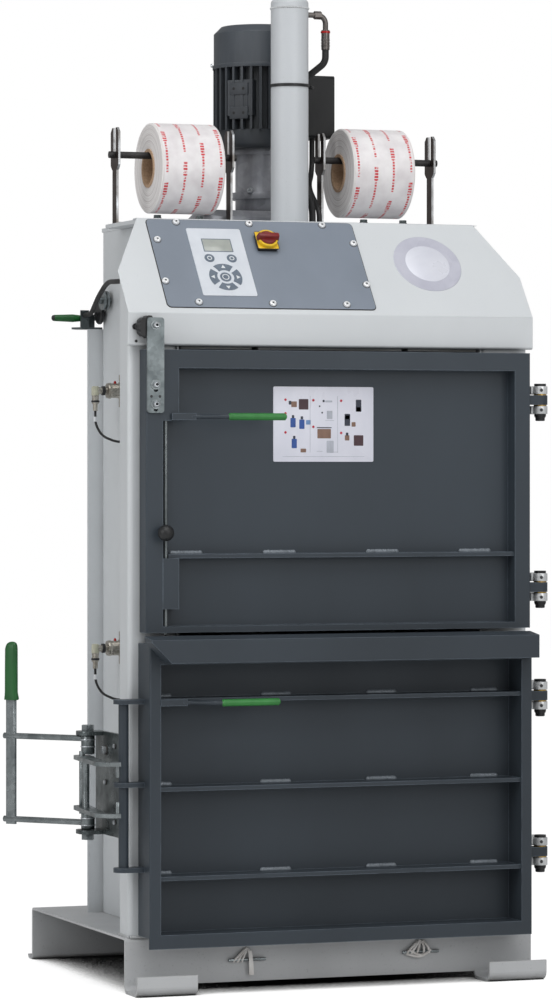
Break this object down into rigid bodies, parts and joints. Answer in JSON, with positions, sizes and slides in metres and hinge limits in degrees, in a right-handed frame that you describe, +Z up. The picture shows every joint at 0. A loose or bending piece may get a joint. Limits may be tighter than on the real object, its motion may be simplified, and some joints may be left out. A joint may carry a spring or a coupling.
{
  "type": "vertical recycling baler",
  "caption": "Upright hydraulic baler with hinged loading doors, a pressing plate on a cylinder, a power pack and strap rolls on top, and a lever lock at the side.",
  "frame": {"origin": "bottom centre of the overall bounding box, on the floor under the feet", "axes": "+Z up, +X to the right seen from the front, +Y to the rear; the doors face -Y"},
  "size_m": [1.05, 0.764, 1.985],
  "materials": {
    "body_paint": "satin",
    "floor_paint": "worn satin",
    "door_paint": "satin",
    "panel_grey": "satin",
    "keypad_foil": "matte",
    "switch_black": "matte",
    "switch_red": "gloss",
    "hard_chrome": "polished",
    "gland_brass": "satin",
    "tank_metal": "satin",
    "motor_paint": "satin",
    "box_black": "matte",
    "zinc": "zinc plated",
    "hose_rubber": "matte",
    "axle_black": "satin",
    "tape_white": "woven",
    "core_card": "matte card",
    "grip_green": "matte",
    "cover_paint": "satin",
    "sensor_metal": "nickel plated"
  },
  "bodies": {
    "frame": {"base": "body_paint", "cable_pulley": "zinc", "chamber_floor": "floor_paint", "chamber_walls": "body_paint", "control_panel": "panel_grey", "cylinder": "body_paint", "door_sensors": "sensor_metal", "header_beam": "body_paint", "hinge_blocks": "zinc", "hinge_pins": "axle_black", "hinge_washers": "gland_brass", "hood": "body_paint", "hose_fitting": "zinc", "keypad": "keypad_foil", "left_column": "body_paint", "lock_bracket": "zinc", "motor": "motor_paint", "motor_cable": "hose_rubber", "motor_cowl": "motor_paint", "oil_tank": "tank_metal", "pivot_bolts": "zinc", "pressure_hose": "hose_rubber", "pump_housing": "tank_metal", "rear_columns": "body_paint", "release_base": "zinc", "release_cable": "hose_rubber", "right_column": "body_paint", "rod_gland": "gland_brass", "roll_axles": "axle_black", "roll_posts": "zinc", "rubber_buffer": "hose_rubber", "sensor_leads": "hose_rubber", "switch_base": "switch_black", "terminal_box": "box_black", "top_plate": "body_paint"},
    "upper_door": {"upper_door": "door_paint", "latch_strip": "zinc", "latch_knob": "box_black", "bolt_cover": "cover_paint", "upper_handle": "door_paint", "upper_grip": "grip_green"},
    "drop_bolt": {"drop_bolt": "zinc", "bolt_ball": "box_black"},
    "lower_door": {"lower_door": "door_paint", "loading_lip": "door_paint", "lower_handle": "door_paint", "lower_grip": "grip_green", "lock_bar": "door_paint"},
    "lock_lever": {"lock_lever": "zinc", "lever_grip": "grip_green"},
    "lock_hook": {"lock_hook": "zinc"},
    "ram": {"piston_rod": "hard_chrome", "platen": "floor_paint"},
    "release_lever": {"release_lever": "zinc", "release_grip": "grip_green"},
    "roll_left": {"tape_roll_left": "tape_white", "roll_core_left": "core_card"},
    "roll_right": {"tape_roll_right": "tape_white", "roll_core_right": "core_card"},
    "switch_knob": {"switch_knob": "switch_red"}
  },
  "joints": [
    {"name": "upper_door_hinge", "type": "hinge", "parent": "frame", "child": "upper_door", "pos_m": [0.50997, -0.284, 0.976], "axis": [0, 0, 1], "range_deg": [0, 120]},
    {"name": "lower_door_hinge", "type": "hinge", "parent": "frame", "child": "lower_door", "pos_m": [0.50997, -0.284, 0.41], "axis": [0, 0, 1], "range_deg": [0, 120]},
    {"name": "drop_bolt_slide", "type": "slide", "parent": "upper_door", "child": "drop_bolt", "axis": [0, 0, 1], "range_m": [-0.02, 0.05]},
    {"name": "lock_lever_turn", "type": "hinge", "parent": "frame", "child": "lock_lever", "pos_m": [-0.39203, -0.104, 0.408], "axis": [0, 0, 1], "range_deg": [-38, 100]},
    {"name": "lock_hook_turn", "type": "hinge", "parent": "lock_lever", "child": "lock_hook", "pos_m": [-0.40403, -0.104, 0.408], "axis": [0, 0, 1], "range_deg": [-117.61, 45]},
    {"name": "ram_slide", "type": "slide", "parent": "frame", "child": "ram", "axis": [0, 0, -1], "range_m": [0, 0.553]},
    {"name": "release_lever_turn", "type": "hinge", "parent": "frame", "child": "release_lever", "pos_m": [-0.27953, 0.238, 1.338], "axis": [0, 1, 0], "range_deg": [0, 60]},
    {"name": "roll_left_spin", "type": "hinge", "parent": "frame", "child": "roll_left", "pos_m": [-0.14253, 0.059, 1.639], "axis": [1, 0, 0], "continuous": true},
    {"name": "roll_right_spin", "type": "hinge", "parent": "frame", "child": "roll_right", "pos_m": [0.27347, 0.059, 1.639], "axis": [1, 0, 0], "continuous": true},
    {"name": "switch_turn", "type": "hinge", "parent": "frame", "child": "switch_knob", "pos_m": [-0.03953, -0.1666, 1.47641], "axis": [0, -0.7891, 0.6142], "range_deg": [-90, 0]}
  ],
  "couplings": [
    {"joint": "lock_hook_turn", "follows": "lock_lever_turn", "ratio": -1.1711}
  ]
}
